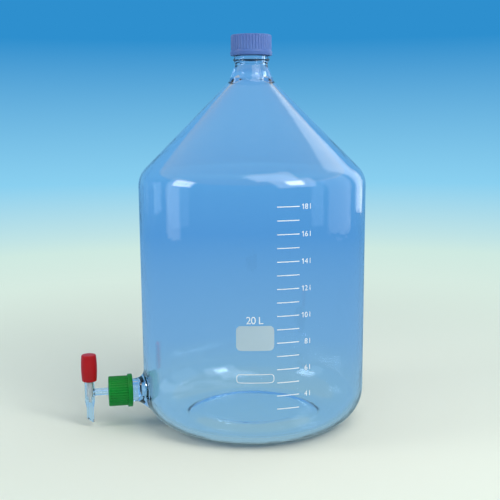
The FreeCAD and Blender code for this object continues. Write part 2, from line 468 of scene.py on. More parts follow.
@dataclass(frozen=True)
class FiredEnamel(Finish):
    """White ceramic print, screened on and fired: matt, a little uneven, thin enough to glow."""

    cover: float = 1.0

    def material(self) -> Material:
        """Builds the print; its cover is below one where the colour lies thin.

        Returns:
            The material.
        """
        material, tree, shader, _ = self.start({"Alpha": self.cover})
        self.relief(tree, shader)
        return material


@dataclass(frozen=True)
class StudioPaper(Finish):
    """Seamless paper sweep, pale near the object and bluer far off and high up.

    What is seen through the glass is a plain glow of its own, a little deeper than the lit paper.
    """

    tones: tuple[str, ...] = ("#E7EDE0", "#CFEAE2", "#8AD0F0", "#2E8FCE")
    through_tones: tuple[str, ...] = ("#ACCACC", "#8DBADA", "#69A8DA", "#79BCE8", "#74B8E8")
    stops: tuple[float, ...] = (0.0, 0.25, 0.46, 0.88)
    through_stops: tuple[float, ...] = (0.0, 0.07, 0.3, 0.65, 1.0)
    far_share: float = 0.16
    high_share: float = 0.55
    glow_start: float = 0.03
    glow_full: float = 0.18

    def ramp(self, tree: Tree, share: Socket, tones: Sequence[str], stops: Sequence[float]) -> Node:
        """Adds a colour ramp through tones.

        Args:
            tree: the paper's node tree.
            share: how far off and high up a place is, from 0 to 1.
            tones: hex colours of the ramp.
            stops: place of each tone on the ramp.

        Returns:
            The ramp.
        """
        made = add_node(tree, "ShaderNodeValToRGB", {}, {"Fac": share})
        elements = made.color_ramp.elements
        while len(elements) < len(tones):
            elements.new(1.0)
        for element, stop, tone in zip(elements, stops, tones):
            element.position = stop
            element.color = linear(tone)
        return made

    def material(self) -> Material:
        """Builds the paper with its colour drifting with distance and height.

        Near the object the paper is lit and takes its shadow. Far off, the camera sees the tone as
        written, and through glass, or mirrored in it, the second ramp's tone.

        Returns:
            The material.
        """
        material, tree, shader, output = self.start()
        place = add_node(tree, "ShaderNodeTexCoord").outputs["Object"]
        parts = add_node(tree, "ShaderNodeSeparateXYZ", {}, {"Vector": place})
        away = add_node(tree, "ShaderNodeVectorMath", {"operation": "LENGTH"}, {"Vector": place})
        far = add_node(
            tree, "ShaderNodeMath", {"operation": "MULTIPLY", 1: self.far_share},
            {0: away.outputs["Value"]})
        share = add_node(
            tree, "ShaderNodeMath",
            {"operation": "MULTIPLY_ADD", "use_clamp": True, 1: self.high_share},
            {0: parts.outputs["Z"], 2: far.outputs["Value"]}).outputs["Value"]
        lit = self.ramp(tree, share, self.tones, self.stops)
        through = self.ramp(tree, share, self.through_tones, self.through_stops)
        tree.links.new(lit.outputs["Color"], shader.inputs["Base Color"])
        path = add_node(tree, "ShaderNodeLightPath").outputs
        distant = add_node(
            tree, "ShaderNodeMapRange",
            {"interpolation_type": "SMOOTHSTEP", "From Min": self.glow_start,
             "From Max": self.glow_full},
            {"Value": share})
        own_tone = add_node(
            tree, "ShaderNodeMath", {"operation": "MULTIPLY"},
            {0: path["Is Camera Ray"], 1: distant.outputs["Result"]})
        by_glass = add_node(
            tree, "ShaderNodeMath", {"operation": "MAXIMUM"},
            {0: path["Is Transmission Ray"], 1: path["Is Glossy Ray"]})
        seen_through = add_node(
            tree, "ShaderNodeMath", {"operation": "SUBTRACT", "use_clamp": True},
            {0: by_glass.outputs["Value"], 1: path["Diffuse Depth"]})
        surface = shader.outputs["BSDF"]
        for amount, tone in ((own_tone, lit), (seen_through, through)):
            glow = add_node(tree, "ShaderNodeEmission", {}, {"Color": tone.outputs["Color"]})
            surface = add_node(tree, "ShaderNodeMixShader", {}, {
                0: amount.outputs["Value"], 1: surface,
                2: glow.outputs["Emission"]}).outputs["Shader"]
        tree.links.new(surface, output.inputs["Surface"])
        return material


class Dress(Enum):
    """The finishes of the object and of the paper that it stands on."""

    # Blown and fire polished: no grain, only a slow waviness that bends what it mirrors, and a cool
    # tint that gathers where the wall is seen edge on
    CLEAR_GLASS = BlownGlass(
        "blown_borosilicate_glass", "clear_glass", "#EAF6FE", 0.0, 45.0, 0.25)
    # Drawn and melted at the lamp: clearer and thinner, with a closer, shallower waviness
    TAP_GLASS = BlownGlass(
        "lampworked_borosilicate_glass", "tap_glass", "#FCFEFF", 0.0, 12.0, 0.04, body_density=9.0)
    # Injection moulded: broad soft highlights on the ribs and a barely mottled blue
    BLUE_PLASTIC = MouldedPlastic(
        "moulded_blue_polypropylene", "blue_plastic", "#6080BE", 0.36, 0.5, 0.01, "#4D69AC")
    # Injection moulded and harder: a deep green with a duller skin
    GREEN_PLASTIC = MouldedPlastic(
        "moulded_green_polyester", "green_plastic", "#00962F", 0.4, 0.5, 0.01, "#008427")
    # Injection moulded in a finely eroded mould: red, nearly matt
    RED_PLASTIC = MouldedPlastic(
        "moulded_red_polypropylene", "red_plastic", "#BE0E16", 0.42, 0.5, 0.01, "#AC0A12")
    # Turned from rod: a waxy white whose rings catch a thin line of light each
    WHITE_FLUOROPOLYMER = TurnedFluoropolymer(
        "turned_white_fluoropolymer", "white_fluoropolymer", "#FBFCFC", 0.5, 0.6, 0.02)
    # Compression moulded: a soft grey skin without any sparkle
    SEAL_RUBBER = MouldedPlastic(
        "moulded_silicone_rubber", "seal_rubber", "#D9DAD6", 0.5, 0.4, 0.01, "#CBCDC8")
    # Screened and fired ceramic colour: solid chalky white lines
    PRINT = FiredEnamel("fired_white_enamel", "clear_glass", "#F2F6F8", 0.55, 0.4, 0.01)
    # The same colour laid thin, for writing on: a milky veil that lets the blue behind it through
    PANEL = FiredEnamel("thin_fired_enamel", "clear_glass", "#C9DCE4", 0.6, 0.4, 0.01, cover=0.72)
    # Uncoated roll of background paper: matt, with only its tone drifting
    PAPER = StudioPaper("pale_paper", "", "#EDF3EF", 0.9, 0.6, 0.01)

    def made(self) -> Material:
        """The material, built the first time that it is asked for."""
        found = bpy.data.materials.get(self.value.name)
        return found if found else self.value.material()


def finished(
    name: str, shape: Shape, dress: Dress, body: str = "", stands_for: Sequence[str] = ()
) -> Piece:
    """Turns a mesh into a piece of the object: shaded, dressed and riding on its body.

    Args:
        name: the piece's name.
        shape: its mesh in metres, in place. It is freed.
        dress: its finish, whose material the piece wears.
        body: the body that carries it; the stage has none.
        stands_for: the plain nodes that it replaces.

    Returns:
        The new object.
    """
    for face in shape.faces:
        face.smooth = True
    for edge in shape.edges:
        if len(edge.link_faces) == 2 and edge.calc_face_angle() > SHARP_ANGLE:
            edge.smooth = False
    triangles = len(shape.calc_loop_triangles())
    piece = as_object(name, shape)
    piece.data.materials.append(dress.made())
    if body:
        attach(piece, body)
    if stands_for:
        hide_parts(*stands_for)
    log.info("%s: %d triangles on %s", name, triangles, body or "the stage")
    return piece


@dataclass
class TurnedPart:
    """What the turned parts share: an outline that is spun about an axis, then dressed.

    The piece holds what finished() takes beside the shape: name, finish, body and plain nodes.
    """

    piece: ClassVar[tuple]
    closed: ClassVar[bool] = True
    facets: ClassVar[int] = 96
    arc_steps: ClassVar[int] = 4

    def corners(self) -> list[Corner]:
        """The outline's corners, which each part gives for itself."""
        raise NotImplementedError

    def shaped(self) -> Shape:
        """The part's mesh about Z."""
        return turned(self.corners(), self.facets, self.closed, self.arc_steps)

    def build(self, place: Optional[Matrix] = None) -> Piece:
        """Builds the part, lays it in its place and dresses it.

        Args:
            place: matrix that takes a shape made about Z to the part's own axis, if that is another.

        Returns:
            The finished part.
        """
        shape = self.shaped() if place is None else placed(self.shaped(), place)
        name, dress, body, nodes = self.piece
        return finished(name, shape, dress, body, nodes)


# Glass


@dataclass
class TubeJoint:
    """A glass tube that grows out of a round glass wall, with a fillet outside and inside.

    The tube is spun about its own axis, and its flared ends are laid onto the wall.
    Distances are millimetres from the axis of the round wall.
    """

    place: Matrix
    outer_wall: Callable[[float, float], float]
    inner_wall: Callable[[float, float], float]
    outer_flat: float
    inner_flat: float
    outer_neck: float
    outer_ring: float
    inner_neck: float
    inner_ring: float
    steps: int = 72
    arc_steps: int = 10

    def laid(self, corners: Sequence[Corner]) -> Shape:
        """Spins the tube's open outline and lays its two flared ends onto the wall.

        Args:
            corners: outline from the outer ring, along the tube and back to the inner ring.

        Returns:
            The tube, open at both rings, in the frame of the object.
        """
        tube = turned(corners, self.steps, False, self.arc_steps)
        middle = (self.inner_neck + self.outer_neck) / 2.0
        for vert in tube.verts:
            side, height = vert.co.y / MM, vert.co.x / MM
            radius = math.hypot(side, height)
            if radius > middle:
                share = smooth_step((radius - self.outer_neck) / (self.outer_ring - self.outer_neck))
                flat, wall = self.outer_flat, self.outer_wall
            else:
                share = smooth_step((radius - self.inner_neck) / (self.inner_ring - self.inner_neck))
                flat, wall = self.inner_flat, self.inner_wall
            if share > 0.0:
                vert.co.z += share * (wall(side, height) - flat) * MM
        return placed(tube, self.place)


@dataclass
class GlassThread:
    """A coarse round thread on the bottle: a ridge that winds round Z and runs out at both ends."""

    name: str
    root: float
    crest: float
    low: float
    high: float
    foot: float
    pitch: float = 4.0
    sink: float = 0.2
    run_out: float = 0.1
    end_share: float = 0.05
    arch_steps: int = 8
    steps_per_turn: int = 64

    @property
    def turns(self) -> float:
        """Turns that the ridge makes."""
        return (self.high - self.low - self.foot) / self.pitch

    def turns_done(self, spot: Vector) -> float:
        """How far along the ridge a spot on it lies, from its angle and height.

        Args:
            spot: a place on the ridge, in metres.

        Returns:
            Turns from the ridge's start.
        """
        lap = math.atan2(spot.y, spot.x) / TURN % 1.0
        climbed = (spot.z / MM - self.low - self.foot / 2.0) / self.pitch
        return lap + round(climbed - lap)

    def build(self, place: Matrix) -> Piece:
        """Spins a low arch up a screw line, fills its ends and lets it run out at both.

        Args:
            place: matrix that lays the thread where it belongs.

        Returns:
            The finished ridge.
        """
        base = self.root - self.sink
        half = self.foot / 2.0
        steps = round(self.turns * self.steps_per_turn)
        ridge = bmesh.new()
        arch = []
        for step in range(self.arch_steps + 1):
            swing = math.pi * step / self.arch_steps
            across = base + (self.crest - base) * math.sin(swing)
            arch.append(ridge.verts.new(
                Vector((across, 0.0, self.low + half - half * math.cos(swing))) * MM))
        loop = [ridge.edges.new((vert, arch[index - 1])) for index, vert in enumerate(arch)]
        bmesh.ops.spin(
            ridge, geom=arch + loop, cent=(0, 0, 0), axis=(0, 0, 1),
            dvec=(0, 0, self.turns * self.pitch / steps * MM), angle=TURN * self.turns, steps=steps,
            use_merge=False, use_normal_flip=False, use_duplicate=False)
        bmesh.ops.edgeloop_fill(ridge, edges=[edge for edge in ridge.edges if edge.is_boundary])
        for vert in ridge.verts:
            done = self.turns_done(vert.co)
            share = smooth_step(min(done, self.turns - done) / self.run_out)
            across = math.hypot(vert.co.x, vert.co.y)
            wanted = base * MM + (across - base * MM) * max(self.end_share, share)
            widen(vert, wanted / across)
        bmesh.ops.recalc_face_normals(ridge, faces=ridge.faces)
        return finished(self.name, placed(ridge, place), Dress.CLEAR_GLASS, "bottle")


@dataclass
class GlassBottle:
    """The blown bottle with its neck, raised floor and the tubulation for the tap."""

    body_radius: float
    rim_height: float
    tap_height: float
    tube_rim: float
    draft: float = 1.5
    straight_height: float = 319.0
    shoulder_round: float = 31.5
    heel_round: float = 45.0
    wall: float = 5.0
    floor: float = 6.0
    punt_radius: float = 74.0
    punt_height: float = 7.0
    punt_slope: float = 14.0
    punt_round: float = 42.0
    foot_round: float = 18.0
    neck_radius: float = 28.4
    neck_round: float = 14.0
    waist_radius: float = 20.4
    waist_round: float = 3.0
    mouth_bore: float = 15.0
    mouth_round: float = 2.0
    throat_round: float = 16.0
    finish_root: float = 20.5
    finish_height: float = 23.0
    bead_radius: float = 23.3
    bead_edge_round: float = 0.5
    bead_side_round: float = 0.8
    bead_top_slope: float = 4.1
    bead_under_radius: float = 21.6
    bead_under_drop: float = 1.7
    bead_foot_drop: float = 6.5
    neck_crest: float = 22.3
    neck_thread_start: float = 3.0
    neck_thread_end: float = 3.4
    neck_thread_foot: float = 2.6
    tube_radius: float = 14.0
    tube_root: float = 16.2
    tube_taper: float = 24.0
    tube_taper_round: float = 10.0
    tube_rim_round: float = 1.4
    tube_bore: float = 10.0
    tube_fillet: float = 11.0
    tube_crest: float = 15.8
    tube_thread_start: float = 5.0
    tube_thread_end: float = 2.6
    tube_thread_foot: float = 2.4
    bore_fillet: float = 2.5
    outer_margin: float = 1.5
    inner_margin: float = 0.5
    facets: int = 192
    arc_steps: int = 14
    longest_run: float = 7.0
    seam_gap: float = 1.0
    seam_zone: float = 3.0

    @property
    def foot_radius(self) -> float:
        """Radius of the body just above the heel."""
        return self.body_radius - self.draft

    @property
    def cone_top(self) -> float:
        """Height at which the cone's line meets the neck's."""
        return self.straight_height + self.body_radius - self.neck_radius

    @property
    def inner_shoulder(self) -> float:
        """Height at which the inner side's line meets the inner cone's."""
        return self.straight_height - self.wall * (math.sqrt(2.0) - 1.0)

    @property
    def throat_height(self) -> float:
        """Height at which the inner cone's line meets the mouth's bore."""
        return self.inner_shoulder + self.body_radius - self.wall - self.mouth_bore

    @property
    def bead_top(self) -> float:
        """Height of the collar's upper side, where the threaded finish starts."""
        return self.rim_height - self.finish_height

    def outline(self) -> list[Vector]:
        """Traces the glass from the middle of its foot, over the mouth, to the middle of its floor.

        Returns:
            The outline's points in metres.
        """
        bead_edge = self.bead_top - self.bead_top_slope
        slope_foot = self.punt_radius + self.punt_slope
        corners = [
            Corner(0, self.punt_height),
            Corner(self.punt_radius, self.punt_height, self.punt_round),
            Corner(slope_foot, 0, self.foot_round),
            Corner(self.foot_radius, 0, self.heel_round),
            Corner(self.body_radius, self.straight_height, self.shoulder_round),
            Corner(self.neck_radius, self.cone_top, self.neck_round),
            Corner(self.waist_radius, bead_edge - self.bead_foot_drop, self.waist_round),
            Corner(self.bead_under_radius, bead_edge - self.bead_under_drop, self.bead_side_round),
            Corner(self.bead_radius, bead_edge, self.bead_edge_round),
            Corner(self.finish_root, self.bead_top, self.bead_side_round),
            Corner(self.finish_root, self.rim_height, self.mouth_round),
            Corner(self.mouth_bore, self.rim_height, self.mouth_round),
            Corner(self.mouth_bore, self.throat_height, self.throat_round),
            Corner(self.body_radius - self.wall, self.inner_shoulder, self.shoulder_round - self.wall),
            Corner(self.foot_radius - self.wall, self.floor, self.heel_round - self.wall),
            Corner(slope_foot, self.floor, self.foot_round),
            Corner(self.punt_radius, self.punt_height + self.floor, self.punt_round),
            Corner(0, self.punt_height + self.floor),
        ]
        return split_long(traced(corners, False, self.arc_steps), self.longest_run)

    def side_radius(self, height: float, inset: float, foot: float, shoulder: float) -> float:
        """Radius of the side and its rounded foot at a height, for the outer or the inner surface.

        Args:
            height: height in millimetres.
            inset: how far the surface lies inside the outer one.
            foot: height of the surface's flat foot.
            shoulder: height at which its side meets the cone.

        Returns:
            The radius in millimetres.
        """
        rounding = self.heel_round - inset
        slope = self.draft / (shoulder - foot)
        side = self.foot_radius - inset
        middle = foot + rounding
        if height >= middle:
            return side + slope * (height - foot)
        centre = side + slope * rounding - rounding
        return centre + math.sqrt(rounding ** 2 - (middle - height) ** 2)

    def radius_at(self, height: float) -> float:
        """Outer radius of the straight body or the heel at a height."""
        return self.side_radius(height, 0.0, 0.0, self.straight_height)

    def inner_radius_at(self, height: float) -> float:
        """Inner radius of the straight body or the heel at a height."""
        return self.side_radius(height, self.wall, self.floor, self.inner_shoulder)

    def joint(self) -> TubeJoint:
        """Works out the joint between the body and the tubulation.

        Returns:
            The joint, with how far off each surface of the body lies.
        """

        def outer(side: float, height: float) -> float:
            """How far along the tap's axis the outer surface lies, aside of it and above it."""
            return math.sqrt(self.radius_at(self.tap_height + height) ** 2 - side ** 2)

        def inner(side: float, height: float) -> float:
            """How far along the tap's axis the inner surface lies, aside of it and above it."""
            return math.sqrt(self.inner_radius_at(self.tap_height + height) ** 2 - side ** 2)

        return TubeJoint(
            along_tap(self.tap_height), outer, inner,
            self.foot_radius, self.foot_radius - self.wall,
            self.tube_root, self.tube_root + self.tube_fillet + self.outer_margin,
            self.tube_bore, self.tube_bore + self.bore_fillet + self.inner_margin)

    def tube_corners(self, joint: TubeJoint) -> list[Corner]:
        """Corners of the tubulation from its outer flare, round its rim, to its inner flare.

        Args:
            joint: the joint whose rings the flares reach.

        Returns:
            The corners of an open outline about the tap's axis.
        """
        wall = self.foot_radius
        inner = wall - self.wall
        return [
            Corner(joint.outer_ring, wall),
            Corner(self.tube_root, wall, self.tube_fillet),
            Corner(self.tube_radius, inner + self.tube_taper, self.tube_taper_round),
            Corner(self.tube_radius, self.tube_rim, self.tube_rim_round),
            Corner(self.tube_bore, self.tube_rim, self.tube_rim_round),
            Corner(self.tube_bore, inner, self.bore_fillet),
            Corner(joint.inner_ring, inner),
        ]

    def off_tap(self, place: Vector) -> float:
        """Distance in millimetres of a place from the tap's axis."""
        return math.hypot(place.y, place.z - self.tap_height * MM) / MM

    def is_outside(self, place: Vector) -> bool:
        """Whether a place in the wall near the tap lies on its outer side."""
        halfway = self.radius_at(place.z / MM) - self.wall / 2.0
        return math.hypot(place.x, place.y) / MM > halfway

    def neck_thread(self) -> GlassThread:
        """The thread that the screw cap runs on."""
        return GlassThread(
            "neck_thread", self.finish_root, self.neck_crest, self.bead_top + self.neck_thread_start,
            self.rim_height - self.neck_thread_end, self.neck_thread_foot)

    def tube_thread(self, nut_foot: float) -> GlassThread:
        """The thread that the union nut runs on.

        Args:
            nut_foot: where the nut's foot lies, in millimetres along the tap from the bottle's axis.

        Returns:
            The thread, still upright about Z.
        """
        return GlassThread(
            "tube_thread", self.tube_radius, self.tube_crest, nut_foot + self.tube_thread_start,
            self.tube_rim - self.tube_thread_end, self.tube_thread_foot)

    def build(self) -> Piece:
        """Opens the body's wall where the tap goes and bridges it to the tubulation, inside and out.

        Returns:
            The finished glass.
        """
        shell = spun(self.outline(), self.facets, False)
        joint = self.joint()
        doomed = []
        for face in shell.faces:
            centre = face.calc_center_median()
            if centre.x > 0 or centre.z > self.seam_zone * self.tap_height * MM:
                continue
            ring = joint.outer_ring if self.is_outside(centre) else joint.inner_ring
            if min(self.off_tap(vert.co) for vert in face.verts) < ring + self.seam_gap:
                doomed.append(face)
        bmesh.ops.delete(shell, geom=doomed, context="FACES")
        glass = joined(shell, joint.laid(self.tube_corners(joint)))
        for outside in (True, False):
            rims = [
                edge for edge in glass.edges
                if len(edge.link_faces) == 1 and self.is_outside(edge.verts[0].co) == outside]
            bmesh.ops.bridge_loops(glass, edges=rims)
        bmesh.ops.recalc_face_normals(glass, faces=glass.faces)
        return finished("bottle_glass", glass, Dress.CLEAR_GLASS, "bottle", ["bottle"])


# Caps


@dataclass
class RibbedCap(TurnedPart):
    """What the screw cap and the union nut share: a turned cap whose side carries half-round ribs.

    The ribs run from some way above the foot up to the crown. Heights are along the cap's axis.
    """

    arc_steps: ClassVar[int] = 5
    foot: float
    crown: float
    root: float
    rib_depth: float
    ribs: int
    rib_start: float
    chamfer: float
    steps_per_rib: int = 12
    rib_share: float = 0.62

    @property
    def facets(self) -> int:
        """Facets round the turn, as many on every rib."""
        return self.ribs * self.steps_per_rib

    @property
    def rib_low(self) -> float:
        """Height at which the ribs start."""
        return self.foot + self.rib_start

    def shaped(self) -> Shape:
        """Spins the outline, which has the root's radius on its ribbed side, and raises the ribs.

        Returns:
            The cap's mesh about Z.
        """
        shape = super().shaped()
        for vert in shape.verts:
            up = vert.co.z / MM
            across = math.hypot(vert.co.x, vert.co.y) / MM
            if self.rib_low <= up <= self.crown and across > self.root - self.chamfer:
                angle = math.atan2(vert.co.y, vert.co.x) * self.ribs / TURN
                off = abs(angle - round(angle)) / (self.rib_share / 2.0)
                bulge = math.sqrt(max(0.0, 1.0 - off * off))
                slope_limit = self.root + self.rib_depth - max(0.0, up - self.crown + self.chamfer)
                wanted = max(across, min(across + self.rib_depth * bulge, slope_limit))
                widen(vert, wanted / across)
        return shape


@dataclass
class ScrewCap(RibbedCap):
    """Blue screw cap with a stepped flange, ribbed side, raised rim on top and a plug lip inside."""

    piece: ClassVar[tuple] = ("cap_shell", Dress.BLUE_PLASTIC, "screw_cap", ["screw_cap"])
    root: float = 24.8
    rib_depth: float = 0.7
    ribs: int = 42
    rib_start: float = 7.0
    chamfer: float = 1.3
    bore: float = 22.9
    bore_edge: float = 0.4
    ceiling_drop: float = 2.3
    ceiling_round: float = 0.5
    flange_step: float = 1.8
    flange_proud: float = 1.2
    flange_flare: float = 0.5
    plug_outer: float = 14.65
    plug_wall: float = 1.4
    plug_depth: float = 5.0
    edge: float = 0.8
    fine_edge: float = 0.3
    step_round: float = 0.25
    ledge: float = 0.05
    hair: float = 0.02
    crown_round: float = 0.9
    dish_radius: float = 20.0
    dish_slope: float = 0.6
    dish_depth: float = 0.35
    dish_round: float = 0.5

    def corners(self) -> list[Corner]:
        """Corners of the cap's outline, up its outer side, over its dished top and back inside.

        Returns:
            The corners of a closed outline.
        """
        ceiling = self.crown - self.ceiling_drop
        dish = self.crown - self.dish_depth
        step = self.rib_low - self.flange_step
        wide = self.root + self.flange_proud
        crest = self.root + self.rib_depth
        plug_inner = self.plug_outer - self.plug_wall
        plug_foot = ceiling - self.plug_depth
        return [
            Corner(self.bore, self.foot, self.bore_edge),
            Corner(wide, self.foot, self.edge),
            Corner(wide + self.flange_flare, step, self.edge),
            Corner(crest + self.ledge, step, self.step_round),
            Corner(crest, self.rib_low - self.hair, self.fine_edge),
            Corner(self.root, self.rib_low, self.hair),
            Corner(self.root, self.crown - self.chamfer),
            Corner(self.root, self.crown, self.crown_round),
            Corner(self.dish_radius, self.crown, self.dish_round),
            Corner(self.dish_radius - self.dish_slope, dish, self.dish_round),
            Corner(0, dish),
            Corner(0, ceiling),
            Corner(plug_inner, ceiling, self.fine_edge),
            Corner(plug_inner, plug_foot, self.fine_edge),
            Corner(self.plug_outer, plug_foot, self.fine_edge),
            Corner(self.plug_outer, ceiling, self.fine_edge),
            Corner(self.bore, ceiling, self.ceiling_round),
        ]


@dataclass
class PouringRing(TurnedPart):
    """Loose drip ring over the bottle's mouth, under the cap."""

    piece: ClassVar[tuple] = (
        "pouring_ring_shell", Dress.BLUE_PLASTIC, "pouring_ring", ["pouring_ring"])
    facets: ClassVar[int] = 128
    top: float
    grip: float = 20.6
    inner: float = 17.0
    wall: float = 1.0
    skirt: float = 5.0
    lip: float = 1.4
    edge: float = 0.2
    skirt_round: float = 0.25
    top_round: float = 0.3

    def corners(self) -> list[Corner]:
        """Corners of the ring's outline, from its flat top down its skirt and back over its lip.

        Returns:
            The corners of a closed outline.
        """
        under = self.top - self.wall
        outer = self.grip + self.wall
        return [
            Corner(self.inner, under, self.edge),
            Corner(self.grip, under, self.edge),
            Corner(self.grip, under - self.skirt, self.skirt_round),
            Corner(outer, under - self.skirt, self.skirt_round),
            Corner(outer, under, self.top_round),
            Corner(self.grip + self.lip, self.top, self.edge),
            Corner(self.inner, self.top, self.top_round),
        ]


@dataclass
class UnionNut(RibbedCap):
    """Green union nut with a flange at its foot and a window for the stopcock's side tube."""

    piece: ClassVar[tuple] = ("nut_shell", Dress.GREEN_PLASTIC, "tap_nut", ["tap_nut"])
    root: float = 18.4
    rib_depth: float = 0.6
    ribs: int = 36
    rib_start: float = 6.0
    chamfer: float = 1.0
    bore: float = 16.4
    front: float = 2.4
    window: float = 6.1
    edge: float = 0.5
    window_inner_edge: float = 0.4
    flange_length: float = 6.0
    flange_proud: float = 2.6
    flange_round: float = 1.2
    root_round: float = 0.3
    crown_flat: float = 0.1

    def corners(self) -> list[Corner]:
        """Corners of the nut's outline, from its open foot round its flange and back through its bore.

        Returns:
            The corners of a closed outline.
        """
        ceiling = self.crown - self.front
        flange_top = self.foot + self.flange_length
        wide = self.root + self.flange_proud
        return [
            Corner(self.bore, self.foot, self.edge),
            Corner(wide, self.foot, self.flange_round),
            Corner(wide, flange_top, self.flange_round),
            Corner(self.root, flange_top, self.root_round),
            Corner(self.root, self.crown - self.chamfer),
            Corner(self.root, self.crown, self.chamfer - self.crown_flat),
            Corner(self.window, self.crown, self.edge),
            Corner(self.window, ceiling, self.window_inner_edge),
            Corner(self.bore, ceiling, self.edge),
        ]


# Tap


@dataclass
class TapSeal(TurnedPart):
    """Soft ring between the tubulation's rim and the stopcock's clamp disc."""

    piece: ClassVar[tuple] = ("seal_ring", Dress.SEAL_RUBBER, "tap_seal", ["tap_seal"])
    foot: float
    top: float
    inner: float = 10.0
    outer: float = 13.6
    edge: float = 0.35

    def corners(self) -> list[Corner]:
        """The four rounded corners of the flat ring."""
        return boxed(self.inner, self.outer, self.foot, self.top, self.edge)


@dataclass
class StopcockGlass:
    """Lamp-worked glass of the needle valve: clamp disc, side tube, barrel with seat, slant-cut outlet."""

    reach: float
    axis_height: float
    clamp_face: float
    outlet_foot: float
    rim: float
    clamp_thickness: float = 3.0
    clamp_radius: float = 13.4
    clamp_round: float = 0.8
    clamp_fillet: float = 1.4
    side_radius: float = 4.6
    side_bore: float = 2.2
    side_blend: float = 0.5
    side_flare: float = 1.0
    side_flare_length: float = 1.6
    barrel_radius: float = 6.2
    barrel_bore: float = 4.05
    seat_radius: float = 3.4
    seat_shoulder: float = 1.6
    seat_round: float = 0.6
    seat_foot_round: float = 1.0
    barrel_below: float = 11.0
    barrel_above: float = 15.8
    taper_length: float = 9.0
    taper_round: float = 3.0
    outlet_radius: float = 4.5
    outlet_bore: float = 2.0
    outlet_edge: float = 0.3
    outlet_slant: float = 6.2
    seat_drop: float = 7.5
    seat_length: float = 3.5
    finish_radius: float = 7.3
    finish_round: float = 0.6
    rim_round: float = 0.8
    overrun: float = 1.0
    voxel: float = 0.36
    smoothing: int = 6
    smoothing_share: float = 0.5
    facets: int = 96
    bore_facets: int = 64
    side_bore_facets: int = 48
    arc_steps: int = 6

    @property
    def barrel_top(self) -> float:
        """Height at which the plain barrel ends and its threaded finish starts."""
        return self.axis_height + self.barrel_above

    def outside(self) -> Shape:
        """Makes the arm and the barrel as two solids that overlap.

        Returns:
            Both solids in one mesh, the barrel's outlet cut at a slant.
        """
        clamp_back = self.clamp_face + self.clamp_thickness
        arm_end = self.reach - self.barrel_radius
        arm = turned([
            Corner(0, self.clamp_face),
            Corner(self.clamp_radius, self.clamp_face, self.clamp_round),
            Corner(self.clamp_radius, clamp_back, self.clamp_round),
            Corner(self.side_radius, clamp_back, self.clamp_fillet),
            Corner(self.side_radius, arm_end, self.side_blend),
            Corner(self.side_radius + self.side_flare, arm_end + self.side_flare_length),
            Corner(0, self.reach - self.overrun),
        ], self.facets, False, self.arc_steps, along_tap(self.axis_height))
        foot = self.axis_height - self.barrel_below
        barrel = turned([
            Corner(0, self.outlet_foot),
            Corner(self.outlet_radius, self.outlet_foot, self.outlet_edge),
            Corner(self.outlet_radius, foot - self.taper_length, self.taper_round),
            Corner(self.barrel_radius, foot, self.taper_round),
            Corner(self.barrel_radius, self.barrel_top, self.finish_round),
            Corner(self.finish_radius, self.barrel_top, self.finish_round),
            Corner(self.finish_radius, self.rim, self.rim_round),
            Corner(0, self.rim),
        ], self.facets, False, self.arc_steps, at_valve(self.reach))
        slant = Vector((self.outlet_slant, 0, -2.0 * self.outlet_radius)).normalized()
        tip = Vector((-self.reach + self.outlet_radius, 0, self.outlet_foot)) * MM
        cut = bmesh.ops.bisect_plane(
            barrel, geom=barrel.verts[:] + barrel.edges[:] + barrel.faces[:], dist=WELD, plane_co=tip,
            plane_no=Vector((-slant.x, 0, slant.z)), clear_outer=True)
        rim = [item for item in cut["geom_cut"] if isinstance(item, bmesh.types.BMEdge)]
        bmesh.ops.edgeloop_fill(barrel, edges=rim)
        bmesh.ops.recalc_face_normals(barrel, faces=barrel.faces)
        return joined(arm, barrel)

    def hollows(self) -> tuple[Shape, Shape]:
        """Makes the two bores as solids that run out past the glass.

        Returns:
            The bore of the barrel with its conical seat, and the bore of the arm.
        """
        seat_top = self.axis_height - self.seat_drop
        under = self.outlet_foot - self.overrun
        over = self.rim + self.overrun
        barrel = turned([
            Corner(0, under),
            Corner(self.outlet_bore, under),
            Corner(self.outlet_bore, seat_top - self.seat_length, self.seat_foot_round),
            Corner(self.seat_radius, seat_top, self.seat_round),
            Corner(self.barrel_bore, seat_top + self.seat_shoulder, self.seat_round),
            Corner(self.barrel_bore, over),
            Corner(0, over),
        ], self.bore_facets, False, self.arc_steps, at_valve(self.reach))
        start, end = self.clamp_face - self.overrun, self.reach - self.overrun
        arm = turned(
            boxed(0.0, self.side_bore, start, end, 0.0), self.side_bore_facets, False, self.arc_steps,
            along_tap(self.axis_height))
        return barrel, arm

    def build(self) -> Piece:
        """Melts the two solids into one, smooths the joint and takes the bores out of it.

        Returns:
            The finished glass.
        """
        blank = as_object("stopcock_blank", self.outside())
        remesh = blank.modifiers.new("melt", "REMESH")
        remesh.mode = "VOXEL"
        remesh.voxel_size = self.voxel * MM
        remesh.use_smooth_shade = True
        smooth = blank.modifiers.new("smooth", "SMOOTH")
        smooth.factor = self.smoothing_share
        smooth.iterations = self.smoothing
        tools = [as_object("stopcock_bore", hollow) for hollow in self.hollows()]
        for tool in tools:
            cut = blank.modifiers.new("bore", "BOOLEAN")
            cut.operation = "DIFFERENCE"
            cut.solver = "EXACT"
            cut.object = tool
        shape = baked(blank)
        for spare in [blank] + tools:
            bpy.data.objects.remove(spare)
        bmesh.ops.remove_doubles(shape, verts=shape.verts, dist=WELD)
        return finished("stopcock_glass", shape, Dress.TAP_GLASS, "stopcock", ["stopcock_body"])


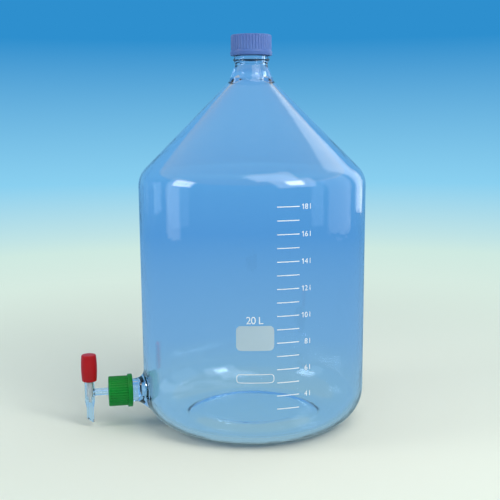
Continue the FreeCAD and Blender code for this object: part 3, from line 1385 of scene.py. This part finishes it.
@dataclass
class ValveSpindle(TurnedPart):
    """Turned white spindle with sealing lips, a needle tip and a headed neck."""

    piece: ClassVar[tuple] = (
        "spindle_turned", Dress.WHITE_FLUOROPOLYMER, "spindle", ["valve_spindle"])
    closed: ClassVar[bool] = False
    needle_foot: float
    top: float
    barrel_top: float
    head_radius: float = 3.15
    radius: float = 3.8
    lip_radius: float = 3.96
    lip_width: float = 1.4
    lip_pitch: float = 6.0
    lip_round: float = 0.08
    lip_fillet: float = 0.05
    lips: int = 3
    needle_radius: float = 2.2
    needle_tip: float = 1.5
    needle_cone: float = 1.75
    needle_length: float = 5.5
    needle_fillet: float = 0.1
    edge: float = 0.3
    shoulder_round: float = 0.4
    stem_above: float = 3.0
    neck_radius: float = 2.0
    neck_round: float = 0.2
    neck_length: float = 3.0
    head_length: float = 3.0
    top_round: float = 0.6

    def corners(self) -> list[Corner]:
        """Corners of the spindle's outline from its needle, over its lips, up to its head.

        Returns:
            The corners of an open outline that starts and ends on the axis.
        """
        cone_top = self.needle_foot + self.needle_cone
        needle_top = cone_top + self.needle_length
        stem = self.barrel_top + self.stem_above
        head = self.top - self.head_length
        neck = head - self.neck_length
        corners = [
            Corner(0, self.needle_foot),
            Corner(self.needle_tip, self.needle_foot, self.edge),
            Corner(self.needle_radius, cone_top, self.edge),
            Corner(self.needle_radius, needle_top, self.needle_fillet),
            Corner(self.radius, needle_top, self.shoulder_round),
        ]
        for lip in reversed(range(self.lips)):
            low = self.barrel_top - lip * self.lip_pitch
            corners += [
                Corner(self.radius, low, self.lip_fillet),
                Corner(self.lip_radius, low, self.lip_round),
                Corner(self.lip_radius, low + self.lip_width, self.lip_round),
                Corner(self.radius, low + self.lip_width, self.lip_fillet),
            ]
        return corners + [
            Corner(self.radius, stem, self.shoulder_round),
            Corner(self.head_radius, stem, self.neck_round),
            Corner(self.head_radius, neck, self.neck_round),
            Corner(self.neck_radius, neck, self.neck_round),
            Corner(self.neck_radius, head, self.neck_round),
            Corner(self.head_radius, head, self.edge),
            Corner(self.head_radius, self.top, self.top_round),
            Corner(0, self.top),
        ]


@dataclass
class ValveKnob(TurnedPart):
    """Red barrel-shaped knob with a skirt over the valve's thread and a socket for the spindle's head."""

    piece: ClassVar[tuple] = ("knob_grip", Dress.RED_PLASTIC, "knob", ["valve_knob"])
    arc_steps: ClassVar[int] = 6
    foot: float
    top: float
    barrel_rim: float
    spindle_top: float
    rim_gap: float = 1.5
    shoulder_drop: float = 5.9
    head_drop: float = 3.1
    top_gap: float = 0.1
    end_radius: float = 9.1
    waist_radius: float = 10.1
    rounding: float = 1.6
    foot_round: float = 0.7
    bore: float = 7.75
    bore_edge: float = 0.4
    inner_round: float = 0.3
    socket: float = 3.25
    neck: float = 2.1
    side_steps: int = 12

    def side(self) -> list[Corner]:
        """Corners of the side, which bulges in a parabola between the two ends.

        Returns:
            The corners from the foot up, without the ends themselves.
        """
        corners = []
        for step in range(1, self.side_steps):
            share = step / self.side_steps
            bulge = 4.0 * share * (1.0 - share)
            across = self.end_radius + (self.waist_radius - self.end_radius) * bulge
            corners.append(Corner(across, self.foot + (self.top - self.foot) * share))
        return corners

    def corners(self) -> list[Corner]:
        """Corners of the knob's outline, up its side, over its top and down through its socket.

        Returns:
            The corners of a closed outline.
        """
        ceiling = self.barrel_rim + self.rim_gap
        shoulder = self.spindle_top - self.shoulder_drop
        head = self.spindle_top - self.head_drop
        socket_top = self.spindle_top + self.top_gap
        return [
            Corner(self.bore, self.foot, self.bore_edge),
            Corner(self.end_radius, self.foot, self.foot_round),
            *self.side(),
            Corner(self.end_radius, self.top, self.rounding),
            Corner(0, self.top),
            Corner(0, socket_top),
            Corner(self.socket, socket_top, self.inner_round),
            Corner(self.socket, head),
            Corner(self.neck, head),
            Corner(self.neck, shoulder),
            Corner(self.socket, shoulder),
            Corner(self.socket, ceiling),
            Corner(self.bore, ceiling, self.inner_round),
        ]


# Print


@dataclass
class PrintedScale:
    """The fired print on the printed side: a litre scale, its numbers, the content and two frames.

    Places are millimetres of height and degrees round from the middle of the printed side.
    """

    radius_at: Callable[[float], float]
    thickness: float = 0.06
    lift: float = 0.05
    slice_width: float = 3.0
    arc_steps: int = 5
    first_litre: int = 3
    last_litre: int = 18
    first_height: float = 54.7
    litre_rise: float = 15.72
    tick_start: float = 0.2
    tick_length: float = 27.0
    tick_width: float = 1.0
    tick_round: float = 0.3
    number_step: int = 2
    number_end: float = 16.7
    number_height: float = 6.4
    capital_share: float = 0.73
    letter_space: float = 0.92
    flagged_from: int = 10
    flag_length: float = 2.0
    flag_overlap: float = 0.4
    flag_width: float = 0.75
    flag_slope: float = 38.0
    content_start: float = -14.2
    content_foot: float = 156.6
    content_height: float = 8.9
    frame_start: float = -18.75
    frame_end: float = -1.14
    panel_foot: float = 125.0
    panel_top: float = 154.2
    panel_round: float = 5.6
    box_foot: float = 86.5
    box_top: float = 97.2
    frame_round: float = 4.0
    frame_line: float = 0.8

    def across(self, degrees: float) -> float:
        """Distance along the glass of an angle round from the middle of the printed side."""
        return math.radians(degrees) * self.radius_at(self.panel_foot)

    def litre_height(self, litre: int) -> float:
        """Height of a litre's mark."""
        return self.first_height + (litre - self.first_litre) * self.litre_rise

    def bar(self, left: float, right: float, low: float, high: float, rounding: float) -> list[Vector]:
        """Outline of a bar with rounded corners, in metres, from its edges in millimetres."""
        return traced(boxed(left, right, low, high, rounding), True, self.arc_steps)

    def plate(self, *outlines: Sequence[Vector]) -> Shape:
        """A flat plate of one outline, or the frame between two outlines with as many points.

        Args:
            outlines: the outer outline and, for a frame, the inner one.

        Returns:
            The closed plate, one print's thickness deep.
        """
        flat = bmesh.new()
        loops = []
        for outline in outlines:
            verts = [flat.verts.new(point) for point in outline]
            loops.append([
                flat.edges.new((vert, verts[(index + 1) % len(verts)]))
                for index, vert in enumerate(verts)])
        if len(loops) == 1:
            bmesh.ops.edgeloop_fill(flat, edges=loops[0])
        else:
            bmesh.ops.bridge_loops(flat, edges=loops[0] + loops[1])
        grown = bmesh.ops.extrude_face_region(flat, geom=flat.faces[:] + flat.edges[:] + flat.verts[:])
        moved = [item for item in grown["geom"] if isinstance(item, bmesh.types.BMVert)]
        bmesh.ops.translate(flat, verts=moved, vec=Vector((0, -self.thickness * MM, 0)))
        bmesh.ops.recalc_face_normals(flat, faces=flat.faces)
        return flat

    def lettering(self, words: str, height: float, start: float, foot: float) -> Shape:
        """A word or number as a closed plate.

        Args:
            words: what is printed.
            height: height of its capitals in millimetres.
            start: left edge in millimetres along the glass.
            foot: height of the base line in millimetres.

        Returns:
            The plate in the XZ plane.
        """
        text = bpy.data.curves.new("lettering", "FONT")
        text.body = words
        text.size = height / self.capital_share * MM
        text.extrude = self.thickness / 2.0 * MM
        text.space_character = self.letter_space
        holder = bpy.data.objects.new("lettering", text)
        bpy.context.scene.collection.objects.link(holder)
        bpy.context.view_layer.update()
        shape = baked(holder)
        bmesh.ops.remove_doubles(shape, verts=shape.verts, dist=WELD)
        bpy.data.objects.remove(holder)
        bpy.data.curves.remove(text)
        upright = Matrix.Rotation(math.pi / 2.0, 4, "X")
        return placed(shape, Matrix.Translation(Vector((start, 0, foot)) * MM) @ upright)

    def wrapped(self, flat: Shape) -> Shape:
        """Slices a flat plate finely and lays it round the glass.

        Args:
            flat: a plate in the XZ plane, which is bent in place.

        Returns:
            The bent plate.
        """
        reach = max(abs(vert.co.x) for vert in flat.verts) / MM
        slices = math.ceil(reach / self.slice_width)
        for index in range(-slices, slices + 1):
            bmesh.ops.bisect_plane(
                flat, geom=flat.verts[:] + flat.edges[:] + flat.faces[:], dist=WELD,
                plane_co=Vector((index * self.slice_width * MM, 0, 0)), plane_no=Vector((1, 0, 0)))
        for vert in flat.verts:
            radius = self.radius_at(vert.co.z / MM)
            angle = vert.co.x / (radius * MM)
            out = (radius + self.lift) * MM + self.thickness * MM / 2.0 - vert.co.y
            vert.co.x = out * math.sin(angle)
            vert.co.y = -out * math.cos(angle)
        bmesh.ops.recalc_face_normals(flat, faces=flat.faces)
        return flat

    def ticks(self) -> Shape:
        """Makes the litre marks.

        Returns:
            The plates of all marks.
        """
        left = self.across(self.tick_start)
        half = self.tick_width / 2.0
        heights = [self.litre_height(litre) for litre in range(self.first_litre, self.last_litre + 1)]
        return joined(*[
            self.plate(self.bar(left, left + self.tick_length, up - half, up + half, self.tick_round))
            for up in heights])

    def numbers(self) -> Shape:
        """Sets the litre numbers beside every second mark, their right edges in one line.

        Returns:
            The plates of the numbers and of their flags.
        """
        marks = []
        for litre in range(self.first_litre + 1, self.last_litre + 1, self.number_step):
            foot = self.litre_height(litre) - self.number_height / 2.0
            number = self.lettering(f"{litre} l", self.number_height, 0.0, foot)
            shift = self.across(self.number_end) * MM - max(vert.co.x for vert in number.verts)
            bmesh.ops.translate(number, verts=number.verts, vec=Vector((shift, 0, 0)))
            marks.append(number)
            if litre >= self.flagged_from:
                marks.append(self.flag(number))
        return joined(*marks)

    def flag(self, number: Shape) -> Shape:
        """Makes the slanted flag at the head of the figure one that a number starts with.

        Args:
            number: the number's plate.

        Returns:
            The flag's plate.
        """
        stem = min(vert.co.x for vert in number.verts)
        head = max(vert.co.z for vert in number.verts)
        stroke = self.plate(self.bar(
            -self.flag_length, self.flag_overlap, -self.flag_width, 0.0, 0.0))
        slope = Matrix.Rotation(-math.radians(self.flag_slope), 4, "Y")
        return placed(stroke, Matrix.Translation((stem, 0, head)) @ slope)

    def content(self) -> Shape:
        """The content in litres, in large capitals."""
        start = self.across(self.content_start)
        return self.lettering("20 L", self.content_height, start, self.content_foot)

    def panel(self) -> Shape:
        """The thin filled panel to write on."""
        return self.plate(self.bar(
            self.across(self.frame_start), self.across(self.frame_end),
            self.panel_foot, self.panel_top, self.panel_round))

    def empty_box(self) -> Shape:
        """Makes the narrow empty frame near the foot.

        Returns:
            The frame's plate.
        """
        left, right = self.across(self.frame_start), self.across(self.frame_end)
        line = self.frame_line
        outer = self.bar(left, right, self.box_foot, self.box_top, self.frame_round)
        inner = self.bar(
            left + line, right - line, self.box_foot + line, self.box_top - line,
            self.frame_round - line)
        return self.plate(outer, inner)

    def build(self) -> None:
        """Builds each group of the print as one piece."""
        groups = (
            ("print_ticks", self.ticks, Dress.PRINT),
            ("print_numbers", self.numbers, Dress.PRINT),
            ("print_content", self.content, Dress.PRINT),
            ("print_panel", self.panel, Dress.PANEL),
            ("print_box", self.empty_box, Dress.PRINT))
        for name, group, dress in groups:
            finished(name, self.wrapped(group()), dress, "bottle")


# Studio


@dataclass
class SoftBox:
    """A studio light with a soft face that shows as a bright window in the glass.

    It stands so many degrees round from the printed side. Lengths are metres, power is watts.
    """

    name: str
    around: float
    height: float
    distance: float
    width: float
    tall: float
    power: float
    colour: str = "#FFF9F1"
    aim_height: float = 0.22

    def build(self) -> Piece:
        """Places the light round the object, turned towards it.

        Returns:
            The light.
        """
        data = bpy.data.lights.new(self.name, "AREA")
        data.shape = "RECTANGLE"
        data.size = self.width
        data.size_y = self.tall
        data.energy = self.power
        data.color = linear(self.colour)[:3]
        lamp = bpy.data.objects.new(self.name, data)
        bpy.context.scene.collection.objects.link(lamp)
        angle = math.radians(self.around)
        lamp.location = (self.distance * math.sin(angle), -self.distance * math.cos(angle), self.height)
        aim = Vector((0, 0, self.aim_height)) - lamp.location
        lamp.rotation_euler = aim.to_track_quat("-Z", "Y").to_euler()
        return lamp


@dataclass
class Studio:
    """Pale paper sweep in millimetres, with soft lights and the camera in metres and degrees."""

    camera_around: float = -11.0
    camera_distance: float = 1.152
    camera_height: float = 0.390
    camera_tilt: float = 8.33
    camera_turn: float = 0.10
    camera_roll: float = 0.35
    lens: float = 65.0
    sweep_radius: float = 3000.0
    sweep_curve: float = 1200.0
    sweep_height: float = 2000.0
    sweep_facets: int = 128
    sweep_arc_steps: int = 24
    room_colour: str = "#FAFBFC"
    room_strength: float = 0.6
    lights: Sequence[SoftBox] = field(default_factory=lambda: (
        SoftBox("right_window", 84.0, 0.62, 1.5, 1.0, 1.2, 2.2),
        SoftBox("back_right_strip", 122.0, 0.86, 1.6, 0.62, 1.7, 3.2),
        SoftBox("left_strip", -93.0, 0.66, 1.5, 0.5, 1.3, 1.8),
        SoftBox("overhead", 20.0, 1.9, 0.9, 1.2, 1.0, 9.0),
        SoftBox("left_lamp", -84.0, 0.88, 1.38, 0.56, 0.5, 5.0),
        SoftBox("right_lamp", 34.5, 1.1, 1.3, 1.1, 0.9, 6.0),
        SoftBox("right_lamp_core", 34.5, 1.09, 1.28, 0.42, 0.42, 5.5),
    ))

    def sweep(self) -> Piece:
        """Lays the paper: a round floor that curves up all the way round.

        Returns:
            The paper, marked as part of the stage.
        """
        shape = turned([
            Corner(0, 0),
            Corner(self.sweep_radius, 0, self.sweep_curve),
            Corner(self.sweep_radius, self.sweep_height),
        ], self.sweep_facets, False, self.sweep_arc_steps)
        bmesh.ops.reverse_faces(shape, faces=shape.faces)
        paper = finished("paper_sweep", shape, Dress.PAPER)
        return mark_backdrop(paper)

    def camera(self) -> None:
        """Sets the camera of the main view."""
        data = bpy.data.cameras.new("main_view")
        data.lens = self.lens
        eye = bpy.data.objects.new("main_view", data)
        bpy.context.scene.collection.objects.link(eye)
        angle = math.radians(self.camera_around)
        eye.location = (
            self.camera_distance * math.sin(angle), -self.camera_distance * math.cos(angle),
            self.camera_height)
        eye.rotation_euler = (
            math.radians(90.0 - self.camera_tilt), math.radians(self.camera_roll),
            angle + math.radians(self.camera_turn))
        bpy.context.scene.camera = eye

    def build(self) -> None:
        """Builds the stage, lights it and sets the picture's view transform."""
        scene = bpy.context.scene
        scene.view_settings.view_transform = "Standard"
        self.sweep()
        for light in self.lights:
            light.build()
        world = bpy.data.worlds.new("soft_room")
        world.use_nodes = True
        backing = world.node_tree.nodes["Background"]
        backing.inputs["Color"].default_value = linear(self.room_colour)
        backing.inputs["Strength"].default_value = self.room_strength
        scene.world = world
        self.camera()


def main() -> None:
    """Builds every piece in order, then the studio."""
    logging.basicConfig(level=logging.INFO, format="%(message)s")
    bottle_low, bottle_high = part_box("bottle")
    cap_low, cap_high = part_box("screw_cap")
    ring_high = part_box("pouring_ring")[1]
    nut_low, nut_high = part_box("tap_nut")
    seal_low, seal_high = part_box("tap_seal")
    body_low, body_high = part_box("stopcock_body")
    spindle_low, spindle_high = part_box("valve_spindle")
    knob_low, knob_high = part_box("valve_knob")
    tap_height = (nut_low.z + nut_high.z) / 2.0 / MM
    rim_height = bottle_high.z / MM
    valve = -(spindle_low.x + spindle_high.x) / 2.0 / MM
    tap, stem = along_tap(tap_height), at_valve(valve)

    glass = GlassBottle(bottle_high.x / MM, rim_height, tap_height, -bottle_low.x / MM)
    glass.build()
    glass.neck_thread().build(Matrix.Identity(4))
    glass.tube_thread(-nut_high.x / MM).build(tap)
    PrintedScale(glass.radius_at).build()

    PouringRing(ring_high.z / MM).build()
    ScrewCap(cap_low.z / MM, cap_high.z / MM).build()
    TapSeal(-seal_high.x / MM, -seal_low.x / MM).build(tap)
    UnionNut(-nut_high.x / MM, -nut_low.x / MM).build(tap)
    stopcock = StopcockGlass(
        valve, tap_height, -body_high.x / MM, body_low.z / MM, body_high.z / MM)
    stopcock.build()
    ValveSpindle(spindle_low.z / MM, spindle_high.z / MM, stopcock.barrel_top).build(stem)
    ValveKnob(knob_low.z / MM, knob_high.z / MM, stopcock.rim, spindle_high.z / MM).build(stem)
    Studio().build()


if __name__ == "__main__":
    main()
